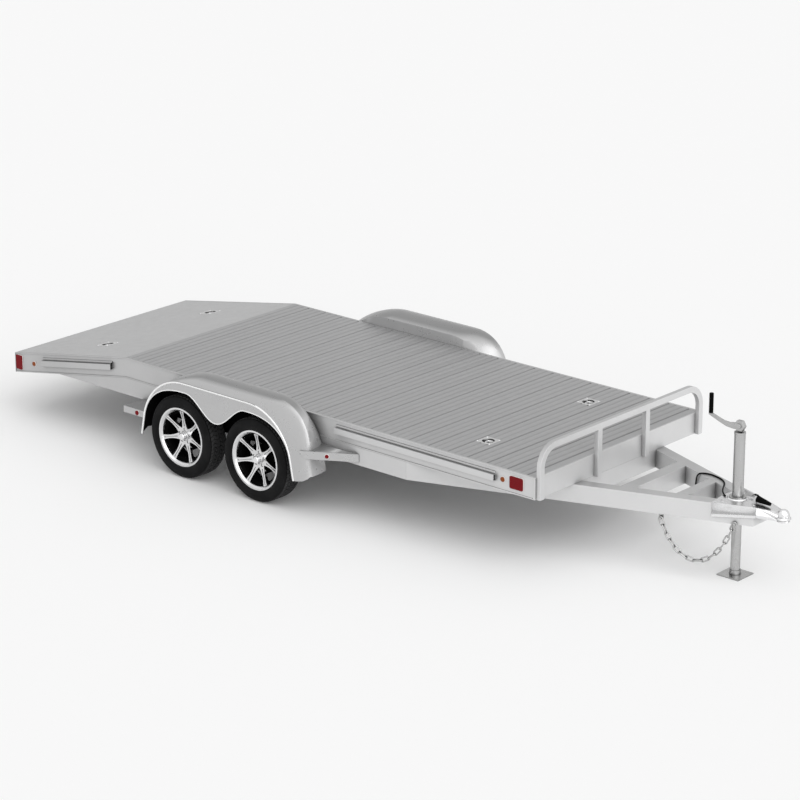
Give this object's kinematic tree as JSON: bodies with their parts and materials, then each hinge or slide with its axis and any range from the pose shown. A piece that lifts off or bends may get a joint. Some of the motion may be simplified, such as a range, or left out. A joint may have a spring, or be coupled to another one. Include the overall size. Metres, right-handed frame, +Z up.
{
  "type": "open tandem-axle car trailer",
  "caption": "Open flat-deck vehicle trailer with a fixed sloping tail, domed fenders, a front guard hoop and an A-shaped tongue with coupler and jack.",
  "frame": {"origin": "on the ground, at the centre of the bounding box", "axes": "+X forward to the coupler, +Y to the trailer's left, +Z up"},
  "size_m": [7.4349, 2.602, 1.39],
  "materials": {
    "deck_planks": "mill finish, cross-ribbed extrusions",
    "tail_planks": "mill finish, fine cross ribs",
    "frame_metal": "mill finish extrusion",
    "fender_metal": "smooth brushed sheet",
    "dark_steel": "satin grey-black",
    "alloy": "polished casting",
    "tyre": "matt tread rubber",
    "bright_metal": "bright plated",
    "zinc": "zinc plated",
    "black_rubber": "satin",
    "red_lens": "moulded lens",
    "amber_lens": "moulded lens"
  },
  "bodies": {
    "chassis": {"main_deck": "deck_planks", "tail_deck": "tail_planks", "side_rail_right": "frame_metal", "side_rail_left": "frame_metal", "side_tracks": "frame_metal", "main_beam_right": "frame_metal", "main_beam_left": "frame_metal", "tongue_beam_right": "frame_metal", "tongue_beam_left": "frame_metal", "front_plate": "frame_metal", "tail_plate": "frame_metal", "tongue_crossmembers": "frame_metal", "deck_joists": "frame_metal", "guard_rail": "frame_metal", "fender_right": "fender_metal", "fender_left": "fender_metal", "step_front_right": "fender_metal", "step_front_left": "fender_metal", "step_rear_right": "fender_metal", "step_rear_left": "fender_metal", "axle_front": "dark_steel", "axle_rear": "dark_steel", "coupler": "bright_metal", "jack_tube": "zinc", "safety_chain": "zinc", "chain_anchors": "zinc", "wiring_lead": "black_rubber", "red_lamps": "red_lens", "amber_markers": "amber_lens", "tie_down_pans": "zinc"},
    "wheel_front_right": {"rim_front_right": "alloy", "tyre_front_right": "tyre", "hub_front_right": "bright_metal"},
    "wheel_front_left": {"rim_front_left": "alloy", "tyre_front_left": "tyre", "hub_front_left": "bright_metal"},
    "wheel_rear_right": {"rim_rear_right": "alloy", "tyre_rear_right": "tyre", "hub_rear_right": "bright_metal"},
    "wheel_rear_left": {"rim_rear_left": "alloy", "tyre_rear_left": "tyre", "hub_rear_left": "bright_metal"},
    "jack_leg": {"jack_leg": "zinc"},
    "jack_crank": {"jack_crank": "zinc", "crank_grip": "black_rubber"},
    "coupler_latch": {"latch_lever": "bright_metal", "latch_grip": "black_rubber"},
    "ring_front_right": {"ring_front_right": "zinc"},
    "ring_front_left": {"ring_front_left": "zinc"},
    "ring_tail_right": {"ring_tail_right": "zinc"},
    "ring_tail_left": {"ring_tail_left": "zinc"}
  },
  "joints": [
    {"name": "wheel_front_right_spin", "type": "hinge", "parent": "chassis", "child": "wheel_front_right", "pos_m": [-0.573, -1.183, 0.352], "axis": [0, 1, 0], "continuous": true},
    {"name": "wheel_front_left_spin", "type": "hinge", "parent": "chassis", "child": "wheel_front_left", "pos_m": [-0.573, 1.183, 0.352], "axis": [0, 1, 0], "continuous": true},
    {"name": "wheel_rear_right_spin", "type": "hinge", "parent": "chassis", "child": "wheel_rear_right", "pos_m": [-1.421, -1.183, 0.352], "axis": [0, 1, 0], "continuous": true},
    {"name": "wheel_rear_left_spin", "type": "hinge", "parent": "chassis", "child": "wheel_rear_left", "pos_m": [-1.421, 1.183, 0.352], "axis": [0, 1, 0], "continuous": true},
    {"name": "jack_crank_turn", "type": "hinge", "parent": "chassis", "child": "jack_crank", "pos_m": [3.239, 0, 1.15], "axis": [0, 0, 1], "range_deg": [0, 9000]},
    {"name": "jack_leg_slide", "type": "slide", "parent": "chassis", "child": "jack_leg", "axis": [0, 0, 1], "range_m": [0, 0.25]},
    {"name": "coupler_latch_lift", "type": "hinge", "parent": "chassis", "child": "coupler_latch", "pos_m": [3.397, 0, 0.645], "axis": [0, -1, 0], "range_deg": [0, 70]},
    {"name": "ring_front_right_swing", "type": "hinge", "parent": "chassis", "child": "ring_front_right", "pos_m": [1.346, -0.625, 0.78], "axis": [0, 1, 0], "range_deg": [0, 90]},
    {"name": "ring_front_left_swing", "type": "hinge", "parent": "chassis", "child": "ring_front_left", "pos_m": [1.346, 0.625, 0.78], "axis": [0, 1, 0], "range_deg": [0, 90]},
    {"name": "ring_tail_right_swing", "type": "hinge", "parent": "chassis", "child": "ring_tail_right", "pos_m": [-2.94427, -0.625, 0.66699], "axis": [0, 1, 0], "range_deg": [0, 90]},
    {"name": "ring_tail_left_swing", "type": "hinge", "parent": "chassis", "child": "ring_tail_left", "pos_m": [-2.94427, 0.625, 0.66699], "axis": [0, 1, 0], "range_deg": [0, 90]}
  ],
  "couplings": [
    {"joint": "jack_leg_slide", "follows": "jack_crank_turn", "m_per_rad": 0.0015915}
  ]
}
